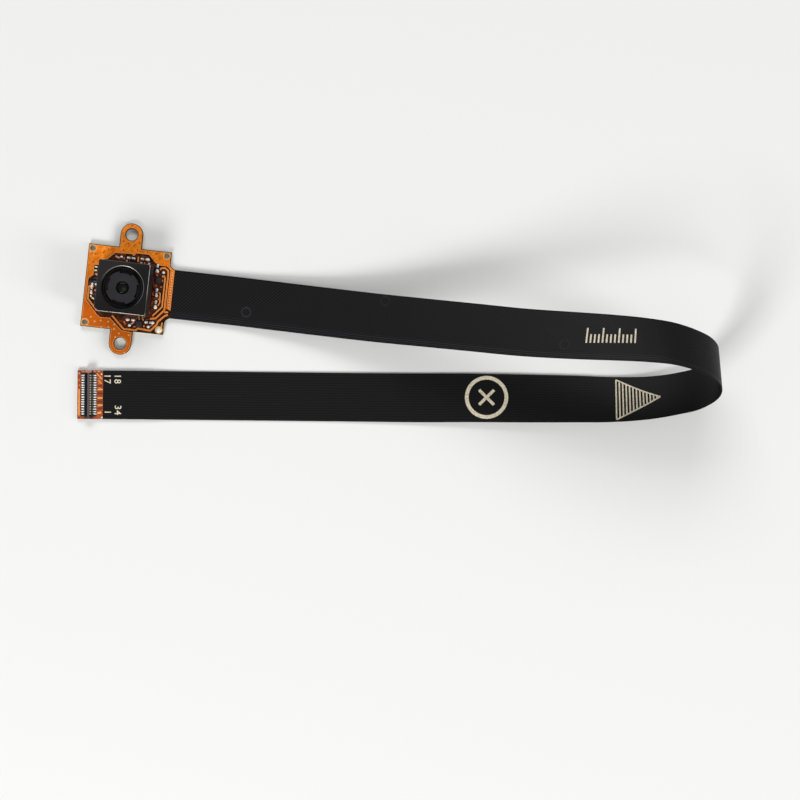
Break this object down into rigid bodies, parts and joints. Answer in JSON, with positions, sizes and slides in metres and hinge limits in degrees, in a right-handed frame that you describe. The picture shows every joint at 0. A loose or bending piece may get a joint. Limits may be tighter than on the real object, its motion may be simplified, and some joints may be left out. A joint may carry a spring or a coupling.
{
  "type": "camera module",
  "caption": "Square autofocus camera on a small eared board, with a long flat flex tail that turns back over itself and ends in a fine-pitch board-to-board connector.",
  "frame": {"origin": "centre of the square board on the underside of its stiffener", "axes": "+X along the flex tail as it leaves the board, +Y towards one ear, +Z the optical axis, out of the lens"},
  "size_m": [0.1058, 0.0334, 0.018],
  "materials": {
    "stiffener_board": "glass-epoxy laminate",
    "amber_flex": "satin, over etched copper",
    "sensor_silicon": "polished",
    "black_moulding": "fine matt",
    "filter_glass": "polished",
    "spring_bronze": "satin",
    "magnet_nickel": "plated",
    "black_can": "satin black",
    "copper_wire": "enamelled",
    "lens_plastic": "polished",
    "black_film": "matt",
    "capacitor_ceramic": "fired ceramic",
    "resistor_black": "glazed",
    "solder": "dull bright",
    "chip_black": "moulded",
    "black_epoxy": "cured drop",
    "tail_film": "satin black",
    "connector_moulding": "satin",
    "gold_contact": "gold plated",
    "tin_tab": "tinned"
  },
  "bodies": {
    "module": {"board_stiffener": "stiffener_board", "flex_board": "amber_flex", "image_sensor": "sensor_silicon", "sensor_holder": "black_moulding", "infrared_filter": "filter_glass", "actuator_base": "black_moulding", "actuator_terminals": "spring_bronze", "lower_leaf_spring": "spring_bronze", "upper_leaf_spring": "spring_bronze", "magnets": "magnet_nickel", "spring_clamp": "black_moulding", "actuator_can": "black_can", "chip_capacitors": "capacitor_ceramic", "chip_resistors": "resistor_black", "solder_joints": "solder", "driver_chip": "chip_black", "regulator_chip": "chip_black", "edge_glue": "black_epoxy", "corner_solder": "solder", "flex_tail": "tail_film", "flex_end": "amber_flex", "end_stiffener": "stiffener_board", "connector_housing": "connector_moulding", "outer_contacts": "gold_contact", "inner_contacts": "gold_contact", "connector_tabs": "tin_tab"},
    "lens_group": {"lens_carrier": "black_moulding", "voice_coil": "copper_wire", "lens_barrel": "black_moulding", "front_lens": "lens_plastic", "second_lens": "lens_plastic", "third_lens": "lens_plastic", "fourth_lens": "lens_plastic", "rear_lens": "lens_plastic", "baffle_sheets": "black_film", "lens_retainer": "black_moulding"}
  },
  "joints": [
    {"name": "focus", "type": "slide", "parent": "module", "child": "lens_group", "axis": [0, 0, 1], "range_m": [0, 0.0003], "stiffness_N_per_m": 40, "springref_m": -0.0001, "deforming": ["lower_leaf_spring", "upper_leaf_spring"]}
  ]
}
